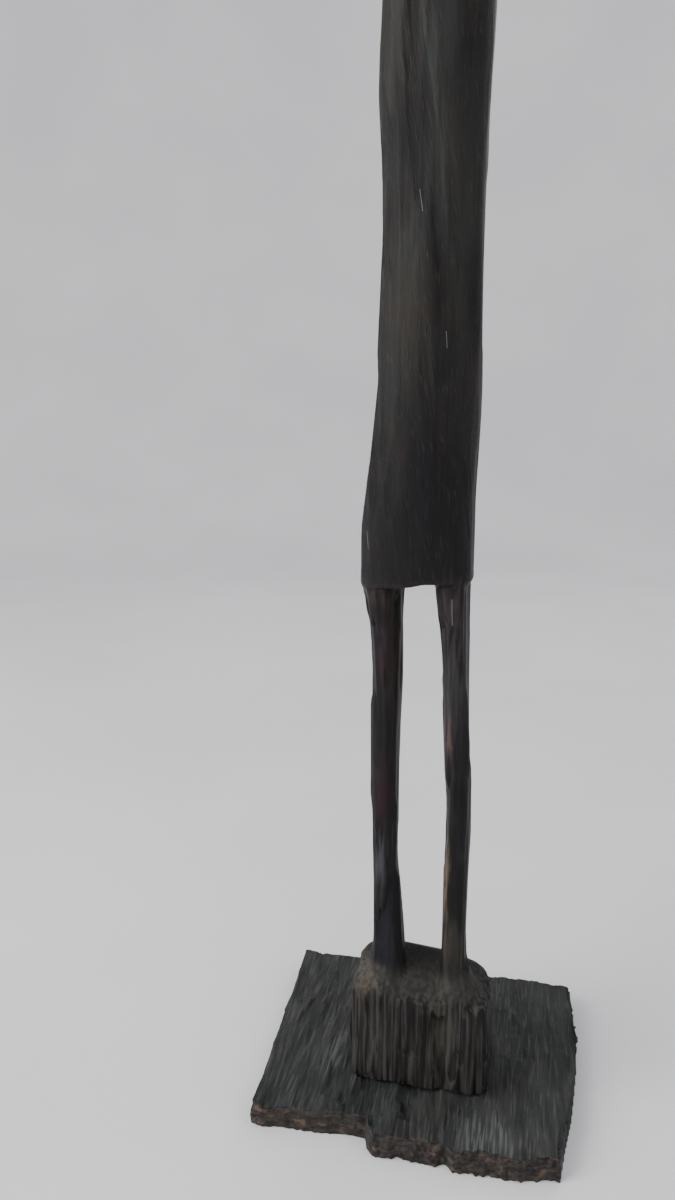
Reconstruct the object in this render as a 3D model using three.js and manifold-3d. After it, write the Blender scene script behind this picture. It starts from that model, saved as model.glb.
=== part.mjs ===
// A tall, thin standing figure, carved in dark hardwood from one length of timber. The foot of the
// timber is left as a rough block under the legs, and the block stands on a rough-hewn plinth board.
// Millimetres, +Z up. The figure faces -Y, and the origin is the middle of the board's underside.

import * as THREE from "three";
import { mergeVertices } from "three/addons/utils/BufferGeometryUtils.js";
import Module from "manifold-3d";

const wasm = await Module();
wasm.setup();

// Driving dimensions
const boardThickness = 22;
const seatGap = 0.3;
const figureX = 4;
const figureY = -34.5;
const blockTop = 107.5;
const blockLeansFrom = 88;
const blockLeanLeft = 0.0034;
const blockLeanBack = 0.009;
const hemHeight = 446.5;
const hemSlope = 0.07;
const hemArch = 2.4;
const hemFadesBy = 490;
const elbowHeight = 889;
const shoulderHeight = 1044;
const chinHeight = 1106;
const crownHeight = 1222;
const hairDepth = 2.2;

// Rows of an upright form, from its foot. A row is its height, then its left edge, right edge,
// front and back, all from the figure's own upright axis.
const blockRows = [
  [boardThickness + seatGap, -58.5, 57, -24.5, 33],
  [27, -60.3, 58.6, -26, 34.3],
  [50, -59.8, 59.4, -26.8, 34],
  [75, -60.8, 58.4, -25.4, 34.8],
  [96, -60, 56.5, -25.2, 34],
  [104, -57.6, 53, -23.4, 33],
  [blockTop + 2, -52.5, 45, -18, 31],
  [blockTop + 7.5, -42, 32, -10.5, 27],
  [blockTop + 12, -22, 15, -3.5, 20],
];
const leftLegRows = [
  [blockTop - 10, -53, -5, -22, 20],
  [blockTop, -50, -9, -20, 18],
  [112, -46.5, -12.5, -16.5, 15.5],
  [120, -44.6, -15, -14, 13.5],
  [138, -43.5, -16.4, -12.5, 12.5],
  [175, -42.7, -19.2, -11.5, 12.5],
  [211, -43.4, -22.2, -11, 13],
  [246, -45, -23, -11.5, 14],
  [315, -46.6, -22.5, -12.5, 14.5],
  [382, -46.9, -21.2, -14, 15],
  [414, -48.7, -22.4, -16.5, 17.5],
  [432, -51, -22, -18.5, 20],
  [hemHeight - 6, -52.4, -21.4, -20, 21.5],
  [hemHeight - 1, -52.8, -19.6, -20.5, 22],
  [hemHeight + 16, -47, -20, -14, 16],
];
const rightLegRows = [
  [blockTop - 10, 2, 53, -21, 20],
  [blockTop, 7, 47, -18.5, 17.5],
  [112, 11, 42, -15.5, 15],
  [120, 13, 38.6, -13.5, 13],
  [138, 14.4, 35.3, -12, 12],
  [175, 14.7, 34.8, -11, 12],
  [211, 14.6, 35, -11, 12.5],
  [246, 15.4, 35.4, -11.5, 13.5],
  [281, 13.8, 34.8, -12, 14],
  [349, 10.2, 32.2, -13, 14.5],
  [382, 8.8, 31.7, -14, 15],
  [414, 5.8, 29.6, -16.5, 17.5],
  [432, 3.6, 29.2, -18.5, 20],
  [hemHeight - 3, 2.4, 29.2, -20, 21.5],
  [hemHeight + 1, 0.4, 29, -20.5, 22],
  [hemHeight + 16, 3, 25, -14, 16],
];
const torsoRows = [
  [hemHeight, -53.6, 30.7, -25, 26],
  [hemHeight + 3, -54.5, 31.5, -26, 27],
  [485, -54.3, 31.2, -27, 30],
  [508, -52.5, 31.3, -27.5, 32],
  [545, -47.4, 32.5, -27.5, 32],
  [582, -44.1, 33.5, -27, 30],
  [635, -42.5, 33.2, -26, 27],
  [700, -40.1, 32.7, -25, 24.5],
  [745, -40.8, 32.9, -25.3, 23.5],
  [786, -43.4, 33.8, -25.8, 23.5],
  [848, -41.5, 35.6, -26.5, 24.5],
  [905, -39.5, 35.5, -27.5, 25],
  [965, -40.5, 38, -26.5, 27],
  [1005, -43.5, 41, -25, 28],
  [shoulderHeight - 22, -45, 42.5, -23, 26.5],
  [shoulderHeight - 11, -42, 40, -20.5, 24],
  [shoulderHeight - 3, -32, 31, -17.5, 21],
  [shoulderHeight + 2, -20, 20, -15, 17.5],
  [shoulderHeight + 6, -13, 13, -12, 14],
];
const neckRows = [
  [1032, -17.5, 17.5, -15, 17],
  [1052, -15.5, 15.5, -14, 15.5],
  [1078, -14, 14, -13, 15],
  [1100, -14.5, 14.5, -12, 17],
  [1130, -15, 15, -10, 19],
];
const headRows = [
  [chinHeight, -8, 8, -28, -13],
  [chinHeight + 3, -13.5, 13.5, -31.5, -6],
  [chinHeight + 9, -18, 18, -33.5, 7],
  [chinHeight + 18, -22, 22, -34, 19],
  [chinHeight + 31, -25.5, 25.5, -33.5, 28],
  [chinHeight + 45, -28.3, 28.3, -33, 34],
  [chinHeight + 60, -29.6, 29.6, -33, 37],
  [chinHeight + 74, -29.4, 29.4, -32, 38],
  [crownHeight - 28, -27.2, 27.2, -28.5, 35.5],
  [crownHeight - 16, -22, 22, -22, 29.5],
  [crownHeight - 8, -15, 15, -13.5, 20.5],
  [crownHeight - 4, -9, 9, -6.5, 13],
  [crownHeight - hairDepth, -4, 4, -1, 7],
];
const noseRows = [
  [chinHeight + 32, -6.5, 6.5, -40, -26],
  [chinHeight + 35, -8, 8, -44.5, -26],
  [chinHeight + 40, -6, 6, -43.5, -26],
  [chinHeight + 50, -4, 4, -39.5, -26],
  [chinHeight + 64, -3.6, 3.6, -35.5, -26],
  [chinHeight + 71, -3, 3, -31.5, -26],
];

// The soft ridge down the front of the body: height, then how far right of the axis it runs.
const ridgeRows = [
  [hemHeight, -10],
  [523, -14],
  [582, -8],
  [652, 1.6],
  [718, 9],
  [783, 8],
  [848, 10],
  [965, 4],
  [shoulderHeight + 6, 0],
];
const ridgeHeight = 2.6;
const ridgeWidth = 22;
const spineDepth = 1.8;
const spineWidth = 9;

// The left arm, from the shoulder to the knuckles: across, deep and height of its middle, then its
// half thickness out from the body and its half width.
const armRows = [
  [-35, 2, shoulderHeight - 17, 9, 11],
  [-41.5, 2.5, shoulderHeight - 33, 9.8, 12],
  [-44, 2, 978, 9.4, 11.6],
  [-43, 1, 935, 8.6, 10],
  [-42.5, -1, 905, 9, 10],
  [-40, -10, elbowHeight, 8.8, 9.2],
  [-32.5, -20, elbowHeight, 7, 8.2],
  [-22, -25.5, elbowHeight + 5, 5.8, 7],
  [-14, -27.5, elbowHeight + 9, 5, 7.4],
];
const rightArmShift = -3;
const fingerPitch = 3.5;

// The features of the head, by their place: across, deep and height.
const eye = [12.5, -26.6, chinHeight + 57];
const socket = [12.5, -34, chinHeight + 57];
const ear = [30.3, 3, chinHeight + 50];
const mouth = [0, -32.2, chinHeight + 21];
const hairline = [0, 2.5, crownHeight - 47];
const hairlineSlope = -0.6;

// The plinth board's edges: along the edge, then how far out it lies. The front is broken in steps.
const frontEdge = [
  [-128, -104.5],
  [-117, -106.5],
  [-96, -103],
  [-77, -104],
  [-54, -99.5],
  [-34, -99],
  [-31, -110.5],
  [-25, -120],
  [-2, -116.5],
  [17, -118],
  [32, -115],
  [39, -121],
  [64, -118.5],
  [90, -119],
  [108, -113.5],
  [119, -111.5],
];
const backEdge = [
  [-128, 121],
  [-84, 120],
  [-8, 120],
  [62, 117.5],
  [119, 117],
];
const leftEdge = [
  [-121, -127],
  [-64, -129.5],
  [-14, -131.5],
  [44, -134.5],
  [106, -137],
  [121, -137.8],
];
const rightEdge = [
  [-121, 119],
  [-80, 124],
  [-45, 130],
  [-4, 134],
  [37, 137],
  [78, 135],
  [106, 131.5],
  [121, 130],
];
const boardStep = 9;
const boardRows = 8;
const hewnDepth = 0.9;
const wornEdge = 2;

// A row at any height of a form, on a smooth curve that doesn't overshoot the form's own rows.
function rowAt(rows, height) {
  let i = 0;
  while (i < rows.length - 2 && rows[i + 1][0] < height) i += 1;
  const span = rows[i + 1][0] - rows[i][0];
  const t = (height - rows[i][0]) / span;
  return rows[i].map((value, k) => {
    const rise = rows[i + 1][k] - value;
    const leaving = slopeAt(rows, i, k) * span - rise;
    const arriving = slopeAt(rows, i + 1, k) * span - rise;
    return value + rise * t + t * (1 - t) * ((1 - t) * leaving - t * arriving);
  });
}

function slopeAt(rows, i, k) {
  const slope = (j) => (rows[j + 1][k] - rows[j][k]) / (rows[j + 1][0] - rows[j][0]);
  if (i === 0) return slope(0);
  if (i === rows.length - 1) return slope(i - 1);
  const [before, after] = [slope(i - 1), slope(i)];
  return before * after > 0 ? (2 * before * after) / (before + after) : 0;
}

// A straight-line value between the points of a board edge.
function edgeAt(edge, along) {
  const i = Math.max(1, edge.findIndex(([place]) => place >= along));
  const [a, b] = [edge[i - 1], edge[i]];
  return THREE.MathUtils.mapLinear(along, a[0], b[0], a[1], b[1]);
}

// A level ring of a squared oval. Squareness 2 is an ellipse, and more is closer to a rectangle.
// The relief moves each point out of the surface, by its angle and its place.
function ovalRing([height, left, right, front, back], { points, squareness, relief }) {
  const middle = new THREE.Vector3((left + right) / 2, (front + back) / 2, height);
  const halfWidth = (right - left) / 2;
  const halfDepth = (back - front) / 2;
  return Array.from({ length: points }, (_, j) => {
    const angle = (j / points) * 2 * Math.PI;
    const cos = Math.cos(angle);
    const sin = Math.sin(angle);
    const reach = (Math.abs(cos) ** squareness + Math.abs(sin) ** squareness) ** (-1 / squareness);
    const outward = new THREE.Vector3(
      (Math.sign(cos) * Math.abs(cos) ** (squareness - 1)) / halfWidth,
      (Math.sign(sin) * Math.abs(sin) ** (squareness - 1)) / halfDepth,
      0,
    ).normalize();
    const point = new THREE.Vector3(cos * reach * halfWidth, sin * reach * halfDepth, 0).add(middle);
    return relief ? point.addScaledVector(outward, relief(angle, point)) : point;
  });
}

// The given places along a form, and more between them so that no two are over a step apart.
function closer(places, step) {
  const between = places.slice(1).flatMap((place, i) => {
    const gap = place - places[i];
    const parts = Math.ceil(gap / step);
    return Array.from({ length: parts }, (_, s) => places[i] + (gap * (s + 1)) / parts);
  });
  return [places[0], ...between];
}

function uprightRings(rows, step, shape) {
  const heights = rows.map(([height]) => height);
  return closer(heights, step).map((height) => ovalRing(rowAt(rows, height), shape));
}

// A closed skin over rings of points. Each ring runs anticlockwise about the way the rings go.
function loft(rings) {
  const around = rings[0].length;
  const points = rings.flat();
  const triangles = [];
  for (let level = 0; level < rings.length - 1; level += 1) {
    for (let j = 0; j < around; j += 1) {
      const a = level * around + j;
      const b = level * around + ((j + 1) % around);
      triangles.push(a, b, b + around, a, b + around, a + around);
    }
  }
  const last = (rings.length - 1) * around;
  const low = points.push(middleOf(rings[0])) - 1;
  const high = points.push(middleOf(rings.at(-1))) - 1;
  for (let j = 0; j < around; j += 1) {
    const next = (j + 1) % around;
    triangles.push(low, next, j, high, last + j, last + next);
  }
  const geometry = new THREE.BufferGeometry().setFromPoints(points);
  geometry.setIndex(triangles);
  return solidOf(geometry);
}

function middleOf(ring) {
  return ring.reduce((sum, point) => sum.add(point), new THREE.Vector3()).divideScalar(ring.length);
}

// A three.js geometry as a solid, and a solid as a three.js geometry with flat faces.
function solidOf(geometry) {
  const bare = geometry.clone();
  bare.deleteAttribute("normal");
  bare.deleteAttribute("uv");
  const merged = mergeVertices(bare, 1e-4);
  return new wasm.Manifold(
    new wasm.Mesh({
      numProp: 3,
      vertProperties: merged.attributes.position.array,
      triVerts: new Uint32Array(merged.index.array),
    }),
  );
}

function geometryOf(solid) {
  const mesh = solid.getMesh();
  const geometry = new THREE.BufferGeometry();
  geometry.setAttribute("position", new THREE.BufferAttribute(mesh.vertProperties, 3));
  geometry.setIndex(new THREE.BufferAttribute(mesh.triVerts, 1));
  const faceted = geometry.toNonIndexed();
  faceted.computeVertexNormals();
  return faceted;
}

function joined(solids) {
  return solids.reduce((whole, solid) => whole.add(solid));
}

// A rounded lump: its middle, then its half sizes across, deep and high.
function lump(middle, halfSizes, sides = 10) {
  const ball = new THREE.SphereGeometry(1, sides, Math.round(sides * 0.6));
  ball.rotateX(Math.PI / 2);
  ball.scale(...halfSizes);
  ball.translate(...middle);
  return solidOf(ball);
}

// The same lump on both sides of the middle.
function pair([x, y, z], halfSizes) {
  return lump([x, y, z], halfSizes).add(lump([-x, y, z], halfSizes));
}

// The rough block under the feet, with the long grooves that a hatchet leaves down its sides. Its
// top is highest at the back left.
function block() {
  const grooveDepth = 2.4;
  const grooves = (angle, { z }) => {
    const drift = z / 60;
    const waves = Math.sin(17 * angle + drift) + Math.sin(27 * angle - drift + 1.3);
    return z < blockTop ? (grooveDepth * (waves - 1.2)) / 3.2 : 0;
  };
  const rings = uprightRings(blockRows, 30, { points: 56, squareness: 7, relief: grooves });
  rings.flat().forEach((point) => {
    const rise = Math.max(0, point.z - blockLeansFrom);
    point.z += rise * (blockLeanBack * point.y - blockLeanLeft * point.x);
  });
  return loft(rings);
}

// A leg is whittled four-sided, and its corners are worn.
function leg(rows) {
  return loft(uprightRings(rows, 40, { points: 14, squareness: 2.7 }));
}

// The body, from its sloping hem to the shoulders.
function torso() {
  const ridgeAndSpine = (angle, { x, z }) => {
    const fromRidge = (x - rowAt(ridgeRows, z)[1]) / ridgeWidth;
    const fromSpine = x / spineWidth;
    return Math.sin(angle) < 0
      ? ridgeHeight * Math.exp(-fromRidge * fromRidge)
      : -spineDepth * Math.exp(-fromSpine * fromSpine) * THREE.MathUtils.smoothstep(z, 520, 620);
  };
  const rings = uprightRings(torsoRows, 34, { points: 32, squareness: 2.7, relief: ridgeAndSpine });
  rings.flat().forEach((point) => {
    const share = THREE.MathUtils.clamp((hemFadesBy - point.z) / (hemFadesBy - hemHeight), 0, 1);
    const arch = hemArch * Math.exp(-((point.x / 12) ** 2));
    point.z += (hemSlope * point.x + arch) * share;
  });
  return loft(rings);
}

// An arm lies against the body, bent at the elbow, with the hand on the belly.
function arm() {
  const path = new THREE.CatmullRomCurve3(armRows.map(([x, y, z]) => new THREE.Vector3(x, y, z)));
  const steps = (armRows.length - 1) * 2;
  const rings = Array.from({ length: steps + 1 }, (_, k) => {
    const middle = path.getPoint(k / steps);
    const along = path.getTangent(k / steps);
    const out = middle.clone().setZ(0).projectOnPlane(along).normalize();
    const side = along.clone().cross(out);
    const [before, after] = [armRows[Math.floor(k / 2)], armRows[Math.ceil(k / 2)]];
    const thickness = (before[3] + after[3]) / 2;
    const width = (before[4] + after[4]) / 2;
    return Array.from({ length: 10 }, (_, j) => {
      const angle = (j / 10) * 2 * Math.PI;
      return middle
        .clone()
        .addScaledVector(out, thickness * Math.cos(angle))
        .addScaledVector(side, width * Math.sin(angle));
    });
  });
  return loft(rings);
}

function hand() {
  const [x, y, z] = armRows.at(-1);
  return joined(
    [-1.5, -0.5, 0.5, 1.5].map((place) => {
      const reach = 9 - Math.abs(place - 0.3);
      return lump([x + 4, y - 2.4, z + 1 + place * fingerPitch], [reach, 2.6, fingerPitch * 0.56], 7);
    }),
  );
}

function arms() {
  const left = arm().add(hand());
  return left.add(left.mirror([1, 0, 0]).translate([rightArmShift, 0, 0]));
}

// The head: a long oval with hollowed eye sockets, and a close cap of hair.
function head() {
  const oval = { points: 24, squareness: 2.2 };
  const skull = loft(uprightRings(headRows, 12, oval));
  const nose = loft(uprightRings(noseRows, 12, { points: 10, squareness: 2.2 }));
  const [mouthX, mouthY, mouthZ] = mouth;
  const lips = lump([mouthX, mouthY, mouthZ + 2.6], [10.5, 4.6, 3]).add(
    lump([mouthX, mouthY + 0.6, mouthZ - 2.6], [9, 4.8, 3.3]),
  );
  const [earX, earY, earZ] = ear;
  const ears = pair(ear, [4.4, 7.5, 12]).subtract(pair([earX + 4, earY - 1.5, earZ + 1], [2.8, 4.6, 8]));
  const chin = lump([0, -27.5, chinHeight + 7.5], [9.5, 7.6, 7]);
  return joined([
    skull.subtract(pair(socket, [10.5, 6.5, 7.5])),
    pair(eye, [8.2, 4.6, 4.2]),
    nose,
    lips,
    chin,
    ears,
    hair(oval),
  ]);
}

function hair(oval) {
  const grown = headRows.map(([height, left, right, front, back]) => [
    height + hairDepth,
    left - hairDepth,
    right + hairDepth,
    front - hairDepth,
    back + hairDepth,
  ]);
  const above = new THREE.BoxGeometry(200, 200, 200);
  above.translate(0, 0, 100);
  above.rotateX(Math.atan(hairlineSlope));
  above.translate(...hairline);
  return loft(uprightRings(grown, 12, oval)).intersect(solidOf(above));
}

// The board is a grid of points bent to its four uneven edges. Its top has the shallow dips of a
// hewn board, and its sides bulge a little between the worn top and bottom edges.
function board() {
  const dipAt = (x, y) => hewnDepth * (1 + Math.sin(x / 9 + y / 31) * Math.cos(y / 17 - x / 40));
  const [leftmost, rightmost] = [frontEdge[0][0], frontEdge.at(-1)[0]];
  const stations = closer(frontEdge.map(([x]) => x), boardStep);
  const rings = stations.map((station) => {
    const share = (station - leftmost) / (rightmost - leftmost);
    const front = edgeAt(frontEdge, station);
    const back = edgeAt(backEdge, station);
    const place = (y, z) => {
      const x = THREE.MathUtils.lerp(edgeAt(leftEdge, y), edgeAt(rightEdge, y), share);
      return new THREE.Vector3(x, y, z);
    };
    const rows = Array.from({ length: boardRows }, (_, r) => r / (boardRows - 1));
    const under = rows.map((r) => {
      const y = THREE.MathUtils.lerp(front + wornEdge / 2, back - wornEdge / 2, r);
      return place(y, 0);
    });
    const over = rows.map((r) => {
      const y = THREE.MathUtils.lerp(back - wornEdge, front + wornEdge, r);
      return place(y, boardThickness - dipAt(station, y));
    });
    const backSide = place(back, boardThickness * 0.6);
    const frontSide = place(front, boardThickness * 0.45);
    return [...under, backSide, ...over, frontSide];
  });
  return loft(rings);
}

const figureWood = new THREE.MeshStandardMaterial({ color: 0x2b2624, roughness: 0.5, metalness: 0 });
const boardWood = new THREE.MeshStandardMaterial({ color: 0x353a37, roughness: 0.8, metalness: 0 });

function neck() {
  return loft(uprightRings(neckRows, 20, { points: 16, squareness: 2 }));
}

// The figure is one length of timber. It is parted here under the hem, where the legs come out of
// the body, so that each part is a simple form and the space between the legs stays open.
const bodySolid = joined([torso(), neck(), arms(), head()]);
const legsSolid = joined([block(), leg(leftLegRows), leg(rightLegRows)]).subtract(
  bodySolid.translate([0, 0, -seatGap]),
);

function named(name, solid, material) {
  const mesh = new THREE.Mesh(geometryOf(solid), material);
  mesh.name = name;
  return mesh;
}

const figure = new THREE.Group();
figure.add(named("figure_body", bodySolid, figureWood), named("figure_legs", legsSolid, figureWood));
figure.position.set(figureX, figureY, 0);

const statue = new THREE.Group();
statue.add(figure, named("plinth", board(), boardWood));

export default statue;
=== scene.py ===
"""A tall, thin carved figure in dark hardwood on a rough-hewn plinth board, in a pale studio."""

import itertools
import math

import bmesh
import bpy
import numpy as np
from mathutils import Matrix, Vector


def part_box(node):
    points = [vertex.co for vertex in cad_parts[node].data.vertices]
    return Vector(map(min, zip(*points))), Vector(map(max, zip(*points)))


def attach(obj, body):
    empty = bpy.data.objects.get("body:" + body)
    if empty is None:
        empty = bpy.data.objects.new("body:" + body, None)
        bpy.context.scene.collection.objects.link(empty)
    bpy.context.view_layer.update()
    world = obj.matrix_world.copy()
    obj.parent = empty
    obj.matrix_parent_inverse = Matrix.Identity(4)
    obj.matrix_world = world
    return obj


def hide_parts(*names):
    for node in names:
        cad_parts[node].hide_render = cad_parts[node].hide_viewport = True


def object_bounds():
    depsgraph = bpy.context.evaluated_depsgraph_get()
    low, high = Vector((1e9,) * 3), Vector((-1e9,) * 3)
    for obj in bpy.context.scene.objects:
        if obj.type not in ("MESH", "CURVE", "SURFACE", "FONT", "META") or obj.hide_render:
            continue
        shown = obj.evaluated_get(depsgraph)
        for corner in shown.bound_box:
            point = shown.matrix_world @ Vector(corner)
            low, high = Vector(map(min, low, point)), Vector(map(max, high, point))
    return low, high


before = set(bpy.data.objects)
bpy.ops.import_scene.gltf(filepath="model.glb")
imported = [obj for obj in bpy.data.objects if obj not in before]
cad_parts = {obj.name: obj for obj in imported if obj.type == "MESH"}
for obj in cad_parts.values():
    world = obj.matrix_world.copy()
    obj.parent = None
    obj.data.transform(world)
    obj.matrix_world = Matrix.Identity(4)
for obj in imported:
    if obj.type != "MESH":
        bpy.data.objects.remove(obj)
cad_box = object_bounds()

MM = 0.001

# Places on the figure, in metres. They are the CAD model's own.
FIGURE_X = 4 * MM
FIGURE_Y = -34.5 * MM
BLOCK_TOP = 107.5 * MM
HEM = 446.5 * MM
HEM_SLOPE = 0.07
ELBOW = 889 * MM
SHOULDER = 1044 * MM
CHIN = 1106 * MM
CROWN = 1222 * MM
BOARD_TOP = 22 * MM

# The grid that each carved piece is worked on, and the most triangles that it keeps.
VOXEL = 1.1 * MM
FIGURE_TRIANGLES = 190_000
BOARD_TRIANGLES = 150_000


# Fixed noise

def lattice(cells, seed):
    """A fixed value from -1 to 1 at each whole-number place."""
    mixed = cells[:, 0] * 73856093 ^ cells[:, 1] * 19349663 ^ cells[:, 2] * 83492791 ^ seed * 2654435761
    mixed = ((mixed ^ (mixed >> 15)) * 0x2C1B3C6D) & 0xFFFFFFFF
    mixed = ((mixed ^ (mixed >> 12)) * 0x297A2D39) & 0xFFFFFFFF
    return ((mixed ^ (mixed >> 15)) & 0xFFFF) / 32767.5 - 1


def noise(points, size, seed, steepness=1):
    """Noise from -1 to 1, with lumps of that size along X, Y and Z. Steep noise has level steps."""
    place = points / np.asarray(size) + 0.37 * seed
    cell = np.floor(place).astype(np.int64)
    share = place - cell
    for _ in range(steepness):
        share = share * share * (3 - 2 * share)
    total = np.zeros(len(points))
    for corner in itertools.product((0, 1), repeat=3):
        weight = np.prod(np.where(corner, share, 1 - share), axis=1)
        total += weight * lattice(cell + np.array(corner), seed)
    return total


def ridged(points, size, seed):
    """Noise from 0 to 1 with sharp valleys, as in split wood."""
    return np.clip(np.abs(noise(points, size, seed)) * 2.2, 0, 1)


def fade(values, start, end):
    """0 at start, 1 at end, and smooth between them."""
    share = np.clip((values - start) / (end - start), 0, 1)
    return share * share * (3 - 2 * share)


# Surfaces as arrays

class Surface:
    """A mesh's points as an array, with the links between neighbours."""

    def __init__(self, mesh):
        self.mesh = mesh
        count = len(mesh.vertices)
        self.points = np.empty(count * 3)
        mesh.vertices.foreach_get("co", self.points)
        self.points = self.points.reshape(-1, 3)
        edges = np.empty(len(mesh.edges) * 2, np.int64)
        mesh.edges.foreach_get("vertices", edges)
        self.ends = edges.reshape(-1, 2).T
        self.degree = np.maximum(np.bincount(edges, minlength=count), 1)

    def around(self, values):
        """The mean of each point's neighbours."""
        first, second = self.ends
        columns = values.reshape(len(values), -1).T
        sums = [
            np.bincount(first, column[second], len(column)) + np.bincount(second, column[first], len(column))
            for column in columns
        ]
        return (np.array(sums) / self.degree).T.reshape(values.shape)

    def evened(self, values, rounds):
        """Values at the points, each after as many rounds of smoothing as its point's number says."""
        values = values.copy()
        for turn in range(int(np.ceil(rounds.max()))):
            share = np.clip(rounds - turn, 0, 1)[:, None] * 0.6
            values += share * (self.around(values) - values)
        return values

    def smooth(self, rounds):
        """Smooths the surface, then gives back the broad part of what that took off."""
        smoothed = self.evened(self.points, rounds)
        self.points = smoothed + self.evened(self.points - smoothed, rounds)

    def normals(self):
        self.write()
        found = np.empty(len(self.points) * 3, np.float32)
        self.mesh.vertex_normals.foreach_get("vector", found)
        return found.reshape(-1, 3).astype(float)

    def write(self):
        self.mesh.vertices.foreach_set("co", self.points.ravel())
        self.mesh.update()

    def press(self, depth):
        """Moves each point in, against its normal, by its own depth."""
        self.points -= self.normals() * depth[:, None]

    def pare(self, strokes, share):
        """Takes wood off under each tool stroke, down to a shallow hollow that runs out at its ends.

        Share is 1 where the tool may cut, and falls to 0 where it may not.
        """
        order = np.argsort(self.points[:, 2])
        heights = self.points[order, 2]
        for middle, out, along, depth, length, width in strokes:
            reach = length / 2 + width
            low, high = np.searchsorted(heights, (middle[2] - reach, middle[2] + reach))
            near = order[low:high]
            offset = self.points[near] - middle
            across = np.cross(out, along)
            u = offset @ along / (length / 2)
            v = offset @ across / (width / 2)
            rise = offset @ out
            floor = depth * (u * u + v * v - 1)
            cut = (rise > floor) & (rise < 3 * MM) & (np.abs(u) < 1) & (np.abs(v) < 1)
            hold = fade(1 - u[cut] ** 2, 0, 0.5) * fade(1 - v[cut] ** 2, 0, 0.5)
            hold *= fade(rise[cut], 3 * MM, 1 * MM) * share[near[cut]]
            self.points[near[cut]] += np.outer((floor - rise)[cut] * hold, out)


def strokes_over(surface, picked, count, seed, along, lean, depth, length, width):
    """Tool strokes at seeded places on the picked points, along one direction, each with its own lean."""
    chance = np.random.default_rng(seed)
    normals = surface.normals()
    places = chance.choice(np.flatnonzero(picked), count)
    for place in places:
        out = normals[place]
        side = np.cross(out, along)
        ahead = np.cross(side, out)
        size = np.linalg.norm(ahead)
        if size < 0.2:
            continue
        turn = chance.uniform(*lean)
        ahead = ahead / size * math.cos(turn) + side / np.linalg.norm(side) * math.sin(turn)
        sizes = [chance.uniform(*span) for span in (depth, length, width)]
        yield (surface.points[place].copy(), out, ahead, *sizes)


def dense_copy(name, nodes, overlap_above=None):
    """One even, closed mesh round copies of CAD nodes. Points over a height are raised to close a seam."""
    shape = bmesh.new()
    for node in nodes:
        start = len(shape.verts)
        shape.from_mesh(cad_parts[node].data)
        shape.verts.ensure_lookup_table()
        if overlap_above is not None and node == nodes[0]:
            for vertex in shape.verts[start:]:
                if vertex.co.z > overlap_above:
                    vertex.co.z += 2 * MM
    bmesh.ops.remove_doubles(shape, verts=shape.verts, dist=1e-6)
    mesh = bpy.data.meshes.new(name)
    shape.to_mesh(mesh)
    shape.free()
    holder = bpy.data.objects.new(name, mesh)
    bpy.context.scene.collection.objects.link(holder)
    remesh = holder.modifiers.new("even grid", "REMESH")
    remesh.mode = "VOXEL"
    remesh.voxel_size = VOXEL
    dense = applied(holder)
    bpy.data.objects.remove(holder)
    return dense


def split_finer(mesh):
    """Splits the faces of the head and the hands in four, for their small features."""
    shape = bmesh.new()
    shape.from_mesh(mesh)
    fine = {vertex for vertex in shape.verts if vertex.co.z > CHIN - 2 * MM or near_hands(vertex.co)}
    edges = [edge for edge in shape.edges if edge.verts[0] in fine and edge.verts[1] in fine]
    bmesh.ops.subdivide_edges(shape, edges=edges, cuts=1, use_grid_fill=True)
    shape.to_mesh(mesh)
    shape.free()


def near_hands(place):
    return abs(place.z - ELBOW - 9 * MM) < 14 * MM and place.y < FIGURE_Y - 18 * MM


def applied(piece):
    """A piece's mesh with its modifiers in it."""
    depsgraph = bpy.context.evaluated_depsgraph_get()
    return bpy.data.meshes.new_from_object(piece.evaluated_get(depsgraph))


def finished(name, mesh, triangles, box):
    """The carved mesh as a piece, held inside its solid's box and with no more triangles than its share."""
    piece = bpy.data.objects.new(name, mesh)
    bpy.context.scene.collection.objects.link(piece)
    held = sum(len(face.vertices) - 2 for face in mesh.polygons)
    if held > triangles:
        thinner = piece.modifiers.new("fewer triangles", "DECIMATE")
        thinner.ratio = triangles / held
        piece.data = applied(piece)
        piece.modifiers.clear()
    piece.data.name = name
    piece.data.shade_smooth()
    surface = Surface(piece.data)
    surface.points = np.clip(surface.points, *map(tuple, box))
    mark_relief(surface)
    return piece


def mark_relief(surface):
    """Stores how far each point stands out from, or lies under, the surface round it."""
    normals = surface.normals()
    level = surface.evened(surface.points, np.full(len(surface.points), 10.0))
    raised = np.sum((surface.points - level) * normals, axis=1) / MM
    attribute = surface.mesh.attributes.new("relief", "FLOAT", "POINT")
    attribute.data.foreach_set("value", raised.astype(np.float32))


# The carved figure

def local(points):
    """The points from the figure's own upright axis."""
    return points - (FIGURE_X, FIGURE_Y, 0)


def hair_depth(places):
    """How far in each point lies from the front edge of the hair, along the slanted plane's normal."""
    slope = 0.6
    return (places[:, 2] - (CROWN - 47 * MM) + slope * (places[:, 1] - 2.5 * MM)) / math.hypot(1, slope)


def hem_height(points):
    """How far each point lies over the sloping hem."""
    return points[:, 2] - HEM - HEM_SLOPE * (points[:, 0] - FIGURE_X)


def smooth_forms(surface):
    """The solids' flat faces are worked smooth: the plain robe most, and the head and arms least."""
    x, y, z = local(surface.points).T
    rounds = np.full(len(z), 5.0)
    rounds[z < BLOCK_TOP] = 3
    rounds[z > HEM + 8 * MM] = 110
    arm = (z > ELBOW - 14 * MM) & (np.abs(x) > 24 * MM)
    hand = (np.abs(z - ELBOW - 5 * MM) < 19 * MM) & (y < 0)
    rounds[arm | hand] = 5
    rounds[z > SHOULDER - 20 * MM] = 12
    rounds[z > CHIN - 3 * MM] = 7
    surface.smooth(surface.around(rounds) * (1.1 * MM / VOXEL) ** 2)


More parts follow.
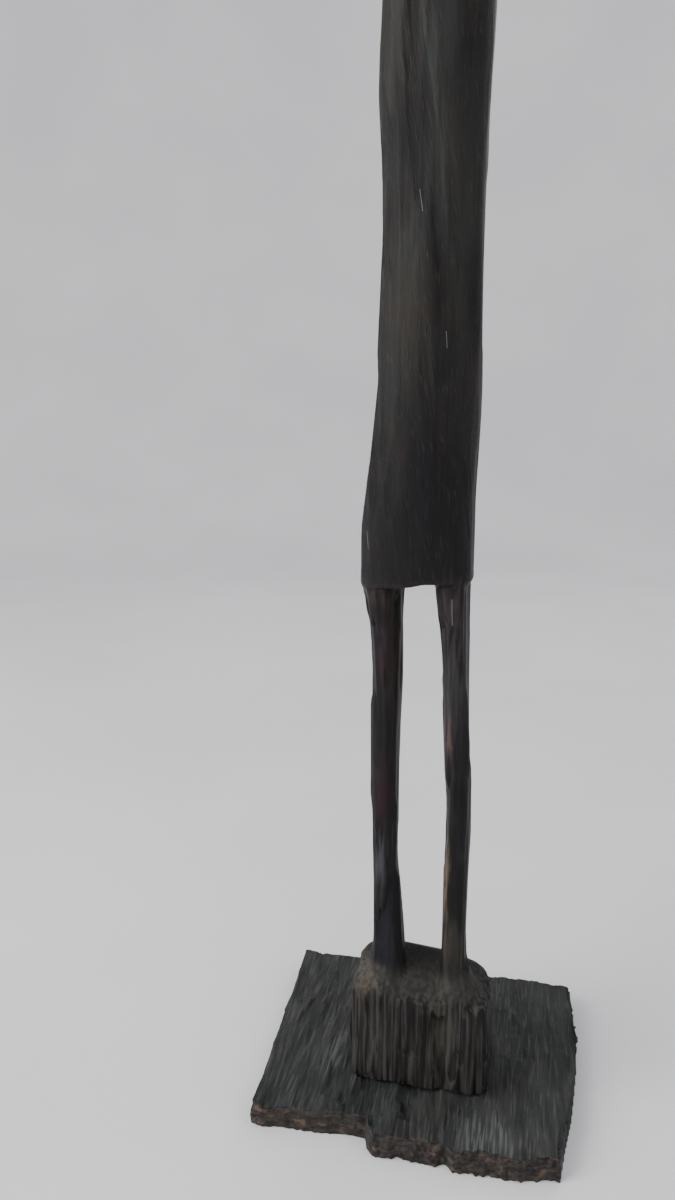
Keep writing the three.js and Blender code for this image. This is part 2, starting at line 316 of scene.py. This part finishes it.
def carve_body(surface):
    x, y, z = local(surface.points).T
    over_hem = hem_height(surface.points)
    share = fade(over_hem, 0, 4 * MM) * fade(z, SHOULDER + 30 * MM, SHOULDER)
    share *= 1 - 0.85 * fade(np.hypot(x, z - ELBOW - 5 * MM), 38 * MM, 26 * MM) * (y < 0)
    surface.press(-0.4 * MM * share)
    leaning = surface.points.copy()
    leaning[:, 0] += 0.17 * z
    planes = 0.7 * (1 + noise(surface.points, (26 * MM, 26 * MM, 90 * MM), 3)) / 2
    rasped = 0.12 * ridged(leaning, (4 * MM, 6 * MM, 55 * MM), 5)
    surface.press(share * (planes + rasped) * MM)
    picked = (over_hem > 8 * MM) & (z < SHOULDER)
    lean = (math.radians(2), math.radians(13))
    spans = ((0.12 * MM, 0.4 * MM), (60 * MM, 150 * MM), (10 * MM, 20 * MM))
    surface.pare(strokes_over(surface, picked, 380, 11, (0, 0, 1), lean, *spans), share)


def carve_legs(surface):
    z = surface.points[:, 2]
    over_hem = hem_height(surface.points)
    share = fade(z, 112 * MM, 124 * MM) * fade(over_hem, -0.5 * MM, -5 * MM)
    surface.press(-0.4 * MM * share)
    picked = (z > 122 * MM) & (over_hem < -6 * MM)
    lean = (math.radians(-3), math.radians(3))
    spans = ((0.3 * MM, 0.6 * MM), (80 * MM, 180 * MM), (9 * MM, 15 * MM))
    surface.pare(strokes_over(surface, picked, 190, 21, (0, 0, 1), lean, *spans), share)


def carve_block(surface):
    z = surface.points[:, 2]
    share = fade(z, 126 * MM, 112 * MM)
    upright = np.abs(surface.normals()[:, 2]) < 0.4
    picked = (z < BLOCK_TOP - 8 * MM) & upright
    lean = (math.radians(-5), math.radians(5))
    spans = ((0.7 * MM, 1.8 * MM), (45 * MM, 120 * MM), (8 * MM, 18 * MM))
    surface.press(-0.9 * MM * share)
    surface.pare(strokes_over(surface, picked, 110, 31, (0, 0, 1), lean, *spans), share)
    side = fade(z, BLOCK_TOP + 2 * MM, BLOCK_TOP - 14 * MM)
    long_grain = 1.5 * (1 - ridged(surface.points, (7 * MM, 7 * MM, 170 * MM), 9))
    fine_grain = 0.8 * (1 - ridged(surface.points, (3.2 * MM, 3.2 * MM, 70 * MM), 10))
    hewn = 0.45 * (1 + noise(surface.points, (15 * MM, 11 * MM, 12 * MM), 12, 2))
    surface.press(share * (side * (long_grain + fine_grain) + (1 - 0.7 * side) * hewn) * MM)


def carve_hair(surface):
    places = local(surface.points)
    share = fade(hair_depth(places), 1 * MM, 3.5 * MM) * (places[:, 2] > CHIN)
    angle = np.arctan2(places[:, 1] - 2 * MM, places[:, 0])
    climb = places[:, 2] / (4.6 * MM)
    rows = np.minimum(np.abs(np.sin(11 * angle + climb)), np.abs(np.sin(11 * angle - climb)))
    away = fade(np.hypot(places[:, 0], places[:, 1] - 2 * MM), 5 * MM, 12 * MM)
    surface.press(share * away * 0.8 * (1 - fade(rows, 0, 0.55)) * MM)


def carve_line(surface, path, width, depth, picked, sides=(0, 2)):
    """A tapering line cut along a path that is given in two of the three directions."""
    flat = surface.points[np.ix_(np.flatnonzero(picked), sides)]
    nearest = np.full(len(flat), 1.0)
    for start, end in zip(path[:-1], path[1:]):
        run = np.subtract(end, start)
        share = np.clip((flat - start) @ run / (run @ run), 0, 1)
        nearest = np.minimum(nearest, np.linalg.norm(flat - start - share[:, None] * run, axis=1))
    cut = np.zeros(len(surface.points))
    cut[picked] = depth * np.exp(-((nearest / width) ** 2))
    surface.press(cut)


def arc(middle, half_sizes, start, end, steps=18):
    """Points along part of an ellipse, from one angle to another, in degrees."""
    angles = np.radians(np.linspace(start, end, steps))
    return [(middle[0] + half_sizes[0] * math.cos(a), middle[1] + half_sizes[1] * math.sin(a)) for a in angles]


def swell(surface, middle, half_sizes, height):
    """A soft lump, or with a height below zero a soft dent."""
    offset = (surface.points - middle) / half_sizes
    surface.press(-height * np.exp(-np.sum(offset * offset, axis=1)))


def carve_hands(surface):
    """The lines between the fingers of the hands, which rest on the belly with their tips together."""
    x, y, z = local(surface.points).T
    front = (np.abs(z - ELBOW - 9 * MM) < 14 * MM) & (y < -18 * MM)
    tips = FIGURE_X - 1.5 * MM
    for side in (-1, 1):
        for place in (-1, 0, 1):
            height = ELBOW + (10 + 3.5 * place) * MM
            path = [(tips + side * 1.5 * MM, height), (tips + side * 16 * MM, height - 1 * MM)]
            carve_line(surface, path, 0.7 * MM, 0.9 * MM, front)
    carve_line(surface, [(tips, ELBOW + 3 * MM), (tips, ELBOW + 17 * MM)], 0.9 * MM, 1.2 * MM, front)


def carve_face(surface):
    """A calm, plain face of general proportions: cheeks, brows, half-closed lids, nose wings, nostrils, lips and
    chin.
    """
    places = local(surface.points)
    front = (places[:, 2] > CHIN - 2 * MM) & (places[:, 1] < -14 * MM)
    eye_z, nose_z, mouth_z = CHIN + 57 * MM, CHIN + 35 * MM, CHIN + 21 * MM
    for side in (-1, 1):
        eye_x = FIGURE_X + side * 12.5 * MM
        swell(surface, (eye_x + side * 3 * MM, FIGURE_Y - 28 * MM, CHIN + 38 * MM), (9 * MM, 9 * MM, 9 * MM), 1 * MM)
        swell(surface, (FIGURE_X + side * 6.5 * MM, FIGURE_Y - 38 * MM, nose_z + 1 * MM),
              (3.2 * MM, 4 * MM, 3 * MM), 1.2 * MM)
        swell(surface, (FIGURE_X + side * 3.2 * MM, FIGURE_Y - 42 * MM, nose_z - 3 * MM),
              (1.8 * MM, 2.6 * MM, 1.8 * MM), -1.8 * MM)
        brow = arc((eye_x + side * 0.5 * MM, eye_z + 1 * MM), (12.5 * MM, 10.5 * MM), 28, 152)
        carve_line(surface, brow, 2 * MM, -1.1 * MM, front)
        almond = (eye_x, eye_z)
        carve_line(surface, arc(almond, (8.6 * MM, 4.8 * MM), 0, 360, 30), 0.8 * MM, 0.8 * MM, front)
        carve_line(surface, arc(almond, (7.2 * MM, 3.2 * MM), 0, 180), 0.8 * MM, -0.5 * MM, front)
        carve_line(surface, arc((eye_x, eye_z + 2 * MM), (7.2 * MM, 3.6 * MM), 205, 335), 0.55 * MM, 0.9 * MM, front)
    middle = (FIGURE_X, mouth_z + 5 * MM)
    carve_line(surface, arc(middle, (11 * MM, 5.2 * MM), 205, 335), 0.8 * MM, 1.3 * MM, front)
    carve_line(surface, [(FIGURE_X, mouth_z + 7 * MM), (FIGURE_X, nose_z - 4 * MM)], 1.6 * MM, 0.6 * MM, front)
    carve_line(surface, arc((FIGURE_X, mouth_z + 1 * MM), (8 * MM, 8 * MM), 230, 310), 1.6 * MM, 0.8 * MM, front)


def carved_figure():
    mesh = dense_copy("carved_figure", ("figure_legs", "figure_body"), overlap_above=HEM - 5 * MM)
    surface = Surface(mesh)
    smooth_forms(surface)
    carve_body(surface)
    carve_legs(surface)
    carve_block(surface)
    surface.write()
    split_finer(mesh)
    surface = Surface(mesh)
    carve_hands(surface)
    carve_face(surface)
    carve_hair(surface)
    surface.write()
    return finished("carved_figure", mesh, FIGURE_TRIANGLES, cad_box)


# The plinth board

def hewn_board():
    mesh = dense_copy("hewn_board", ("plinth",))
    surface = Surface(mesh)
    surface.smooth(np.full(len(surface.points), 4.0))
    points = surface.points
    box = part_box("plinth")
    top = fade(points[:, 2], 8 * MM, 18 * MM)
    picked = points[:, 2] > 17 * MM
    lean = (math.radians(-12), math.radians(12))
    spans = ((0.4 * MM, 1 * MM), (25 * MM, 70 * MM), (8 * MM, 18 * MM))
    surface.pare(strokes_over(surface, picked, 380, 41, (0, 1, 0), lean, *spans), top)
    leaning = surface.points.copy()
    leaning[:, 0] += 0.1 * leaning[:, 1]
    fibres = 0.9 * (1 - ridged(leaning, (5 * MM, 60 * MM, 9 * MM), 43))
    fine = 0.5 * (1 - ridged(leaning, (2.6 * MM, 26 * MM, 6 * MM), 44))
    bumps = 0.3 * (1 + noise(surface.points, (7 * MM, 12 * MM, 7 * MM), 45))
    surface.press(top * (fibres + fine + bumps) * MM)
    break_front(surface, box[0].y)
    surface.write()
    return finished("hewn_board", mesh, BOARD_TRIANGLES, box)


def break_front(surface, front):
    """The front was broken across the grain, so it ends in uneven splinters of every length."""
    points = surface.points
    flat = points * (1, 0, 1)
    chunks = 1 + noise(flat, (9 * MM, 1, 12 * MM), 47, 3)
    splinters = 1 + noise(flat, (3.1 * MM, 1, 4.2 * MM), 48, 3)
    slivers = 1 + noise(flat, (1.9 * MM, 1, 2.3 * MM), 49, 2)
    near = fade(-points[:, 1], 0.08, -front)
    points[:, 1] += near * (1.5 * chunks + 1.3 * splinters + 0.5 * slivers) * MM


# Materials

def linear(red, green, blue):
    """A colour given as 0 to 255, as light values."""
    values = [part / 255 for part in (red, green, blue)]
    return tuple(v / 12.92 if v <= 0.04045 else ((v + 0.055) / 1.055) ** 2.4 for v in values) + (1.0,)


class Recipe:
    """A material's nodes. Each call adds one and gives its output."""

    def __init__(self, name):
        self.material = bpy.data.materials.new(name)
        self.material.use_nodes = True
        self.tree = self.material.node_tree
        self.shader = self.tree.nodes["Principled BSDF"]
        self.place = self.node("TexCoord", output="Object")

    def node(self, kind, inputs=None, output=0, **settings):
        made = self.tree.nodes.new("ShaderNode" + kind)
        for name, value in settings.items():
            setattr(made, name, value)
        for name, value in (inputs or {}).items():
            self.feed(made.inputs[name], value)
        return made.outputs[output]

    def feed(self, socket, value):
        if isinstance(value, bpy.types.NodeSocket):
            self.tree.links.new(value, socket)
        else:
            socket.default_value = value

    def math(self, operation, first, second=0.0):
        return self.node("Math", {0: first, 1: second}, operation=operation)

    def span(self, value, low, high, to_low=0.0, to_high=1.0):
        """A value carried from one range to another, smoothly, and held at its ends."""
        inputs = {"Value": value, "From Min": low, "From Max": high, "To Min": to_low, "To Max": to_high}
        return self.node("MapRange", inputs, interpolation_type="SMOOTHSTEP")

    def mix(self, share, first, second):
        return self.node("Mix", {0: share, 6: first, 7: second}, output=2, data_type="RGBA")

    def scaled(self, size, turn=(0, 0, 0)):
        """The place on the object, measured in lumps of that size, in metres."""
        turned = self.node("Mapping", {"Vector": self.place, "Rotation": turn})
        return self.node("Mapping", {"Vector": turned, "Scale": tuple(1 / part for part in size)})

    def noise(self, size, detail=3.0, turn=(0, 0, 0), distortion=0.0):
        inputs = {"Vector": self.scaled(size, turn), "Scale": 1.0, "Detail": detail, "Distortion": distortion}
        return self.node("TexNoise", inputs)

    def height(self):
        return self.node("SeparateXYZ", {0: self.place}, output="Z")

    def patch(self, middle, half_sizes, ragged):
        """1 in the middle of an oval patch, falling softly to 0 at an edge that the ragged noise moves."""
        moved = self.node("VectorMath", {0: self.place, 1: middle}, operation="SUBTRACT")
        shares = self.node("VectorMath", {0: moved, 1: half_sizes}, operation="DIVIDE")
        away = self.node("VectorMath", {0: shares}, output="Value", operation="LENGTH")
        drawn_in = self.span(ragged, 0.25, 0.75, 0.7, -0.5)
        return self.span(self.math("ADD", away, drawn_in), 1.4, 0.1)

    def scratch(self, start, end, width):
        """1 along a thin line down the front, and 0 beside it."""
        run = Vector(end) - Vector(start)
        share = tuple(run / run.length_squared)
        offset = self.node("VectorMath", {0: self.place, 1: start}, operation="SUBTRACT")
        flat = self.node("VectorMath", {0: offset, 1: (1, 0, 1)}, operation="MULTIPLY")
        along = self.node("VectorMath", {0: flat, 1: share}, output="Value", operation="DOT_PRODUCT")
        held = self.node("Clamp", {0: along})
        nearest = self.node("VectorMath", {0: tuple(run), "Scale": held}, operation="SCALE")
        away = self.node("VectorMath", {0: flat, 1: nearest}, output="Value", operation="DISTANCE")
        front = self.span(self.node("SeparateXYZ", {0: self.place}, output="Y"), FIGURE_Y, FIGURE_Y - 4 * MM)
        return self.math("MULTIPLY", front, self.span(away, width, width * 0.3))

    def finish(self, colour, roughness, height, depth, **fixed):
        bump = self.node("Bump", {"Height": height, "Distance": depth, "Strength": 1.0})
        self.feed(self.shader.inputs["Base Color"], colour)
        self.feed(self.shader.inputs["Roughness"], roughness)
        self.feed(self.shader.inputs["Normal"], bump)
        for name, value in fixed.items():
            self.shader.inputs[name.replace("_", " ")].default_value = value
        return self.material


# Scratches down to paler wood: from, to and half width.
SCRATCHES = (
    ((-6.9 * MM, 0, 721 * MM), (-4.5 * MM, 0, 707 * MM), 0.35 * MM),
    ((-43.3 * MM, 0, 486 * MM), (-41.6 * MM, 0, 473 * MM), 0.35 * MM),
    ((13.5 * MM, 0, 628 * MM), (14.3 * MM, 0, 617 * MM), 0.3 * MM),
    ((21.4 * MM, 0, 437 * MM), (21.9 * MM, 0, 417 * MM), 0.5 * MM),
)

# Coloured patches on the legs and the robe's foot, mostly painted light (pink and violet painted reflections, pale
# painted highlights, blue-black painted shade) with a few brown and olive patches of the wood's own tone: the
# middle, the half sizes, the colour and how strong.
TONE_AND_PAINTED_LIGHT_PATCHES = (
    ((-52 * MM, -48 * MM, 645 * MM), (9 * MM, 30 * MM, 36 * MM), (50, 32, 34), 0.5),
    ((-57 * MM, -48 * MM, 492 * MM), (12 * MM, 30 * MM, 40 * MM), (46, 29, 31), 0.5),
    ((-38 * MM, -48 * MM, 436 * MM), (28 * MM, 30 * MM, 12 * MM), (48, 39, 36), 0.8),
    ((-42 * MM, -48 * MM, 405 * MM), (12 * MM, 20 * MM, 26 * MM), (20, 20, 31), 0.7),
    ((-32 * MM, -48 * MM, 388 * MM), (6 * MM, 14 * MM, 17 * MM), (42, 22, 34), 0.6),
    ((-24 * MM, -46 * MM, 395 * MM), (8 * MM, 16 * MM, 44 * MM), (42, 33, 31), 0.6),
    ((-31 * MM, -48 * MM, 274 * MM), (8 * MM, 14 * MM, 34 * MM), (42, 18, 31), 0.6),
    ((-35 * MM, -48 * MM, 212 * MM), (9 * MM, 14 * MM, 28 * MM), (76, 74, 80), 0.6),
    ((-24 * MM, -46 * MM, 190 * MM), (6 * MM, 14 * MM, 34 * MM), (10, 10, 16), 0.9),
    ((-31 * MM, -44 * MM, 140 * MM), (15 * MM, 26 * MM, 34 * MM), (17, 17, 26), 0.8),
    ((22 * MM, -50 * MM, 418 * MM), (18 * MM, 24 * MM, 32 * MM), (56, 48, 51), 0.6),
    ((22 * MM, -50 * MM, 360 * MM), (12 * MM, 22 * MM, 60 * MM), (60, 58, 58), 0.6),
    ((38 * MM, -46 * MM, 340 * MM), (6 * MM, 14 * MM, 80 * MM), (14, 11, 13), 0.9),
    ((20 * MM, -48 * MM, 326 * MM), (4 * MM, 12 * MM, 20 * MM), (104, 78, 76), 0.5),
    ((31 * MM, -48 * MM, 279 * MM), (8 * MM, 14 * MM, 13 * MM), (9, 8, 9), 0.9),
    ((19 * MM, -46 * MM, 212 * MM), (4.5 * MM, 12 * MM, 60 * MM), (132, 112, 90), 0.6),
    ((28 * MM, -46 * MM, 146 * MM), (16 * MM, 26 * MM, 34 * MM), (54, 53, 45), 0.6),
)


def figure_wood():
    wood = Recipe("figure_wood")
    height = wood.height()
    relief = wood.node("Attribute", output="Fac", attribute_name="relief")
    on_body = wood.span(height, HEM - 2 * MM, HEM + 4 * MM)
    on_block = wood.span(height, BLOCK_TOP + 22 * MM, BLOCK_TOP + 4 * MM)

    grain = wood.noise((2.2 * MM, 2.2 * MM, 70 * MM), 5.0)
    rasp = wood.noise((0.7 * MM, 1.3 * MM, 13 * MM), 3.0, turn=(0, math.radians(10), 0))
    tone = wood.noise((30 * MM, 30 * MM, 110 * MM), 3.0)
    hue = wood.noise((18 * MM, 18 * MM, 60 * MM), 2.0)
    ragged = wood.noise((3 * MM, 3 * MM, 34 * MM), 4.0)

    dark = wood.mix(wood.span(hue, 0.38, 0.62), linear(18, 14, 14), linear(13, 13, 16))
    light = wood.mix(wood.span(hue, 0.35, 0.65), linear(37, 34, 30), linear(34, 35, 33))
    robe_light = wood.math("MULTIPLY", wood.span(tone, 0.3, 0.65), wood.span(height, 500 * MM, 650 * MM, 0.15, 1.0))
    colour = wood.mix(robe_light, dark, light)
    colour = wood.mix(wood.math("MULTIPLY", wood.span(grain, 0.5, 0.75), 0.35), colour, linear(12, 11, 11))
    # Lays the painted reflections, painted highlights and painted shade, and the few real tone patches, over the
    # wood's colour.
    for middle, half_sizes, patch_colour, strength in TONE_AND_PAINTED_LIGHT_PATCHES:
        share = wood.math("MULTIPLY", wood.patch(middle, half_sizes, ragged), strength)
        colour = wood.mix(share, colour, linear(*patch_colour))
    strokes = wood.math("MULTIPLY", wood.span(rasp, 0.58, 0.74), wood.math("MULTIPLY", on_body, 0.42))
    colour = wood.mix(strokes, colour, linear(64, 60, 55))
    colour = wood.mix(wood.math("MULTIPLY", wood.span(relief, 0.08, 0.4), 0.15), colour, linear(56, 51, 46))
    # Painted shade: points that lie under the surface round them, in the carved hollows, are darkened.
    colour = wood.mix(wood.math("MULTIPLY", wood.span(relief, -0.05, -0.4), 0.5), colour, linear(9, 8, 8))
    for start, end, width in SCRATCHES:
        scratch = wood.math("MULTIPLY", wood.scratch(start, end, width), 0.6)
        colour = wood.mix(scratch, colour, linear(128, 121, 110))

    streaks = wood.noise((3.4 * MM, 3.4 * MM, 90 * MM), 4.0, distortion=0.2)
    block = wood.mix(wood.span(streaks, 0.4, 0.62), linear(27, 26, 25), linear(58, 56, 54))
    top = wood.span(height, BLOCK_TOP - 8 * MM, BLOCK_TOP + 2 * MM)
    block = wood.mix(wood.math("MULTIPLY", top, 0.6), block, linear(47, 46, 43))
    olive = wood.patch((22 * MM, -62 * MM, 80 * MM), (11 * MM, 20 * MM, 66 * MM), ragged)
    block = wood.mix(wood.math("MULTIPLY", olive, 0.5), block, linear(70, 69, 58))
    # A pale cream patch at the block's upper left corner: partly painted highlight where the light from the left
    # falls, partly paler wood.
    beige_highlight = wood.patch((-41 * MM, -42 * MM, 115 * MM), (14 * MM, 26 * MM, 20 * MM), ragged)
    block = wood.mix(wood.math("MULTIPLY", beige_highlight, 0.5), block, linear(98, 92, 81))
    orange = wood.patch((-45 * MM, -58 * MM, 98 * MM), (14 * MM, 16 * MM, 18 * MM), ragged)
    block = wood.mix(wood.math("MULTIPLY", orange, 0.35), block, linear(66, 53, 42))
    # Painted shade in the block's hollows, strong on its sides and faint on its top.
    hollow = wood.math("MULTIPLY", wood.span(relief, -0.1, -0.7), wood.span(top, 0.0, 1.0, 0.6, 0.15))
    block = wood.mix(hollow, block, linear(12, 11, 11))
    colour = wood.mix(on_block, colour, block)

    roughness = wood.span(grain, 0.3, 0.7, 0.44, 0.6)
    roughness = wood.math("ADD", roughness, wood.math("MULTIPLY", on_block, 0.25))
    pores = wood.math("MULTIPLY", wood.noise((0.6 * MM, 0.6 * MM, 9 * MM), 2.0), 0.4)
    bumps = wood.math("ADD", wood.math("MULTIPLY", rasp, wood.math("ADD", on_body, 0.2)), pores)
    return wood.finish(colour, roughness, bumps, 0.3 * MM, Specular_IOR_Level=0.16)


def plinth_wood():
    wood = Recipe("plinth_wood")
    relief = wood.node("Attribute", output="Fac", attribute_name="relief")
    fibres = wood.noise((1.8 * MM, 34 * MM, 5 * MM), 5.0, distortion=0.2)
    tone = wood.noise((16 * MM, 60 * MM, 22 * MM), 3.0)
    hue = wood.noise((30 * MM, 30 * MM, 30 * MM), 2.0)
    ragged = wood.noise((3 * MM, 30 * MM, 9 * MM), 4.0)
    dark = wood.mix(wood.span(hue, 0.4, 0.6), linear(31, 32, 31), linear(33, 33, 32))
    light = wood.mix(wood.span(hue, 0.4, 0.6), linear(50, 53, 52), linear(54, 54, 52))
    colour = wood.mix(wood.span(tone, 0.35, 0.68), dark, light)
    colour = wood.mix(wood.math("MULTIPLY", wood.span(fibres, 0.5, 0.7), 0.5), colour, linear(78, 81, 79))
    # Painted shade: the board's hollows are darkened.
    colour = wood.mix(wood.math("MULTIPLY", wood.span(relief, -0.1, -0.7), 0.55), colour, linear(17, 17, 17))
    # Pale grey-green streaks along the fibres of the top: the one on the left part is a painted highlight, the other
    # lies at the front right.
    for middle, half_sizes in (
        ((-72 * MM, -26 * MM, 22 * MM), (9 * MM, 34 * MM, 9 * MM)),
        ((66 * MM, -100 * MM, 22 * MM), (34 * MM, 22 * MM, 9 * MM)),
    ):
        pale_streak = wood.math("MULTIPLY", wood.patch(middle, half_sizes, ragged), wood.span(fibres, 0.4, 0.6, 0.1, 0.7))
        colour = wood.mix(pale_streak, colour, linear(98, 100, 98))

    front = wood.node("SeparateXYZ", {0: wood.place}, output="Y")
    facing = wood.node("SeparateXYZ", {0: wood.node("NewGeometry", output="Normal")}, output="Y")
    broken = wood.math("MULTIPLY", wood.span(front, -88 * MM, -97 * MM), wood.span(facing, -0.3, -0.7))
    layers = wood.noise((9 * MM, 9 * MM, 2 * MM), 5.0, distortion=0.8)
    fresh = wood.mix(wood.span(layers, 0.38, 0.66), linear(32, 29, 27), linear(58, 52, 47))
    chips = wood.noise((11 * MM, 9 * MM, 6 * MM), 4.0)
    fresh = wood.mix(wood.math("MULTIPLY", wood.span(chips, 0.54, 0.74), 0.6), fresh, linear(112, 88, 72))
    colour = wood.mix(wood.math("MULTIPLY", broken, 0.85), colour, fresh)
    roughness = wood.span(tone, 0.3, 0.7, 0.72, 0.9)
    bumps = wood.math("ADD", fibres, wood.math("MULTIPLY", wood.noise((1 * MM, 3 * MM, 1 * MM), 3.0), 0.6))
    return wood.finish(colour, roughness, bumps, 0.8 * MM, Specular_IOR_Level=0.3)


# The studio

def studio():
    """A pale round floor that curves up into a wall, so that no horizon shows."""
    flat, bend, wall = 2.6, 1.4, 5.0
    profile = [(0.0, 0.0), (flat, 0.0)]
    for step in range(1, 13):
        angle = math.pi / 2 * step / 12
        profile.append((flat + bend * math.sin(angle), bend * (1 - math.cos(angle))))
    profile.append((flat + bend, wall))
    shape = bmesh.new()
    points = [shape.verts.new((radius, 0, height)) for radius, height in profile]
    edges = [shape.edges.new(pair) for pair in zip(points[:-1], points[1:])]
    bmesh.ops.spin(shape, geom=points + edges, axis=(0, 0, 1), cent=(0, 0, 0), steps=72, angle=2 * math.pi)
    bmesh.ops.remove_doubles(shape, verts=shape.verts, dist=1e-4)
    bmesh.ops.recalc_face_normals(shape, faces=shape.faces)
    mesh = bpy.data.meshes.new("studio_floor")
    shape.to_mesh(mesh)
    shape.free()
    mesh.shade_smooth()
    floor = bpy.data.objects.new("studio_floor", mesh)
    bpy.context.scene.collection.objects.link(floor)
    paint = Recipe("studio_paint")
    speckle = paint.noise((0.5, 0.5, 0.5), 2.0)
    shade = paint.mix(paint.span(speckle, 0.3, 0.7), linear(229, 228, 229), linear(236, 235, 236))
    mesh.materials.append(paint.finish(shade, 0.85, paint.noise((4 * MM, 4 * MM, 4 * MM)), 0.1 * MM))


def softbox(name, place, size, watts, target=(0, 0, 0.5)):
    light = bpy.data.lights.new(name, "AREA")
    light.shape = "RECTANGLE"
    light.size, light.size_y = size
    light.energy = watts
    lamp = bpy.data.objects.new(name, light)
    lamp.location = place
    lamp.rotation_euler = (Vector(target) - Vector(place)).to_track_quat("-Z", "Y").to_euler()
    bpy.context.scene.collection.objects.link(lamp)


def lighting():
    softbox("key_light", (-1.9, -1.4, 1.6), (1.6, 2.2), 80)
    softbox("fill_light", (1.9, -1.2, 1.3), (1.4, 1.8), 8)
    softbox("back_light", (0.9, 2.0, 1.9), (1.2, 1.4), 12)
    world = bpy.data.worlds.new("studio_light")
    world.use_nodes = True
    world.node_tree.nodes["Background"].inputs["Color"].default_value = (0.93, 0.96, 1.0, 1.0)
    world.node_tree.nodes["Background"].inputs["Strength"].default_value = 0.82
    bpy.context.scene.world = world


def camera():
    lens = bpy.data.cameras.new("camera")
    lens.sensor_width = 36
    lens.lens = 27.9
    lens.clip_start = 0.02
    view = bpy.data.objects.new("camera", lens)
    view.location = (84.5 * MM, -729.1 * MM, 580 * MM)
    view.rotation_euler = (math.radians(78), 0, math.radians(12.5))
    bpy.context.scene.collection.objects.link(view)
    bpy.context.scene.camera = view


camera()
studio()
lighting()

figure = carved_figure()
figure.data.materials.append(figure_wood())
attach(figure, "root")
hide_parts("figure_body", "figure_legs")

board = hewn_board()
board.data.materials.append(plinth_wood())
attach(board, "root")
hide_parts("plinth")
